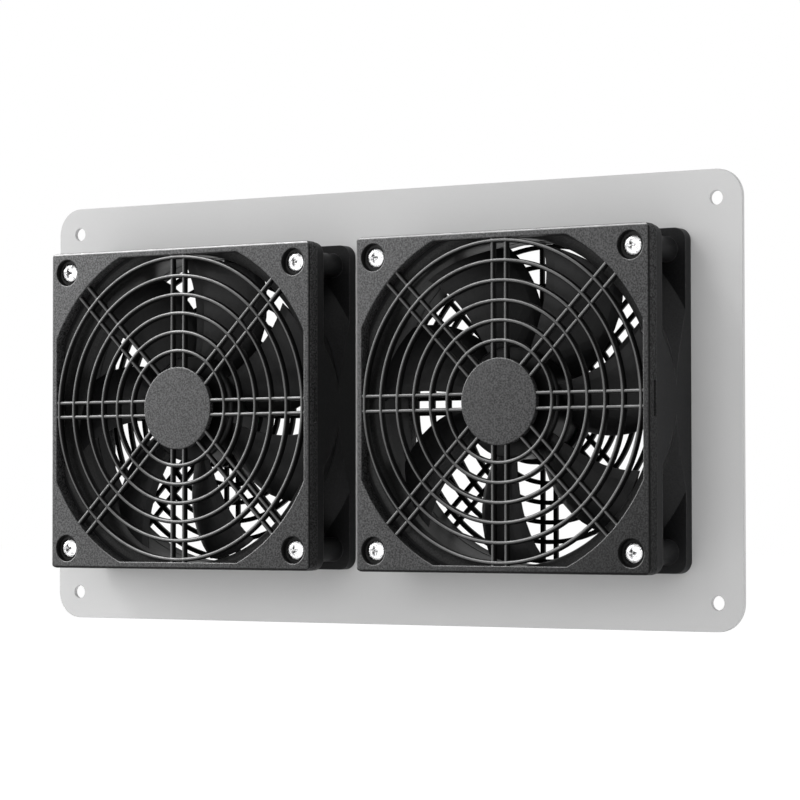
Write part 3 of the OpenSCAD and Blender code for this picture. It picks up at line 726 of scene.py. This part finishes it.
def duct_sleeve(side, fan_x):
    """The straight rear end of the duct, which narrows the plate's opening to a circle."""
    rows = []
    for i in range(SLEEVE_STEPS):
        turn = 2 * math.pi * i / SLEEVE_STEPS
        x, z = math.cos(turn), math.sin(turn)
        outer = min(SLEEVE_OUT_R, SLEEVE_HALF / max(abs(x), abs(z)))
        section = (
            (SLEEVE_R, SLEEVE_FRONT_Y),
            (SLEEVE_R, SLEEVE_REAR_Y),
            (outer, SLEEVE_REAR_Y),
            (outer, SLEEVE_FRONT_Y),
        )
        rows.append([(fan_x + radius * x, y, radius * z) for radius, y in section])
    points = [point for row in rows for point in row]
    corners = len(rows[0])
    faces = []
    for i in range(SLEEVE_STEPS):
        here, there = corners * i, corners * ((i + 1) % SLEEVE_STEPS)
        for k in range(corners):
            after = (k + 1) % corners
            faces.append((here + k, there + k, there + after, here + after))
    mesh = bpy.data.meshes.new(side + "_duct_sleeve")
    mesh.from_pydata(points, [], faces)
    mesh.shade_smooth()
    mesh.set_sharp_from_angle(angle=SHARP_ANGLE)
    mesh.materials.append(MATERIALS["frame_plastic"])
    sleeve = bpy.data.objects.new(side + "_duct_sleeve", mesh)
    bpy.context.scene.collection.objects.link(sleeve)
    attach(sleeve, "panel")


duct_sleeve("left", -FAN_X)
duct_sleeve("right", FAN_X)


# Floor, world and lamps

FLOOR_Z = -0.165
FLOOR_HALF = 6.0
FLOOR_COLOUR = 0.80
WORLD_LEVEL = 0.36

# Each lamp's name, place, size and power in watts; all of them look at the origin
LAMPS = (
    ("key", (-0.9, -0.38, 1.25), (0.7, 0.5), 12.5),
    ("left", (-1.5, -0.5, 0.6), (0.7, 0.9), 7.5),
    ("front", (0.1, -2.0, 0.1), (1.9, 1.9), 19.6),
    ("fill", (1.4, -0.1, 0.3), (0.8, 0.8), 4.5),
)


def seen_rays(tree):
    """1 for camera, glossy and transmission rays, which see a white background, else 0."""
    path = tree.nodes.new("ShaderNodeLightPath")
    total = path.outputs["Is Camera Ray"]
    for name in ("Is Glossy Ray", "Is Transmission Ray"):
        either = tree.nodes.new("ShaderNodeMath")
        either.operation = "MAXIMUM"
        tree.links.new(total, either.inputs[0])
        tree.links.new(path.outputs[name], either.inputs[1])
        total = either.outputs[0]
    return total


def show_white(tree, output, plain, white):
    """Give the output the white shader for the rays that see it, and the plain one for light."""
    mix = tree.nodes.new("ShaderNodeMixShader")
    tree.links.new(seen_rays(tree), mix.inputs[0])
    tree.links.new(plain.outputs[0], mix.inputs[1])
    tree.links.new(white.outputs[0], mix.inputs[2])
    tree.links.new(mix.outputs[0], tree.nodes.new(output).inputs["Surface"])


def make_floor():
    mesh = bpy.data.meshes.new("floor")
    signs = ((-1, -1), (1, -1), (1, 1), (-1, 1))
    corners = [(x * FLOOR_HALF, y * FLOOR_HALF, FLOOR_Z) for x, y in signs]
    mesh.from_pydata(corners, [], [(0, 1, 2, 3)])
    floor = bpy.data.objects.new("floor", mesh)
    bpy.context.scene.collection.objects.link(floor)
    material = bpy.data.materials.new("floor")
    material.use_nodes = True
    tree = material.node_tree
    tree.nodes.clear()
    diffuse = tree.nodes.new("ShaderNodeBsdfDiffuse")
    diffuse.inputs["Color"].default_value = grey(FLOOR_COLOUR)
    # The glow, added to what the floor returns of the world's light, is white
    glow = tree.nodes.new("ShaderNodeEmission")
    glow.inputs["Strength"].default_value = 1.0 - FLOOR_COLOUR * WORLD_LEVEL
    white = tree.nodes.new("ShaderNodeAddShader")
    tree.links.new(diffuse.outputs[0], white.inputs[0])
    tree.links.new(glow.outputs[0], white.inputs[1])
    show_white(tree, "ShaderNodeOutputMaterial", diffuse, white)
    mesh.materials.append(material)


def make_world():
    world = bpy.data.worlds.new("world")
    bpy.context.scene.world = world
    world.use_nodes = True
    tree = world.node_tree
    tree.nodes.clear()
    light = tree.nodes.new("ShaderNodeBackground")
    light.inputs["Color"].default_value = grey(1.0)
    light.inputs["Strength"].default_value = WORLD_LEVEL
    white = tree.nodes.new("ShaderNodeBackground")
    white.inputs["Color"].default_value = grey(1.0)
    show_white(tree, "ShaderNodeOutputWorld", light, white)


def make_lamp(name, place, size, power):
    data = bpy.data.lights.new(name, "AREA")
    data.shape = "RECTANGLE"
    data.size, data.size_y = size
    data.energy = power
    lamp = bpy.data.objects.new(name, data)
    bpy.context.scene.collection.objects.link(lamp)
    lamp.location = place
    lamp.rotation_euler = (-Vector(place)).to_track_quat("-Z", "Y").to_euler()


make_floor()
make_world()
for lamp in LAMPS:
    make_lamp(*lamp)

scene = bpy.context.scene
scene.view_settings.view_transform = "Standard"
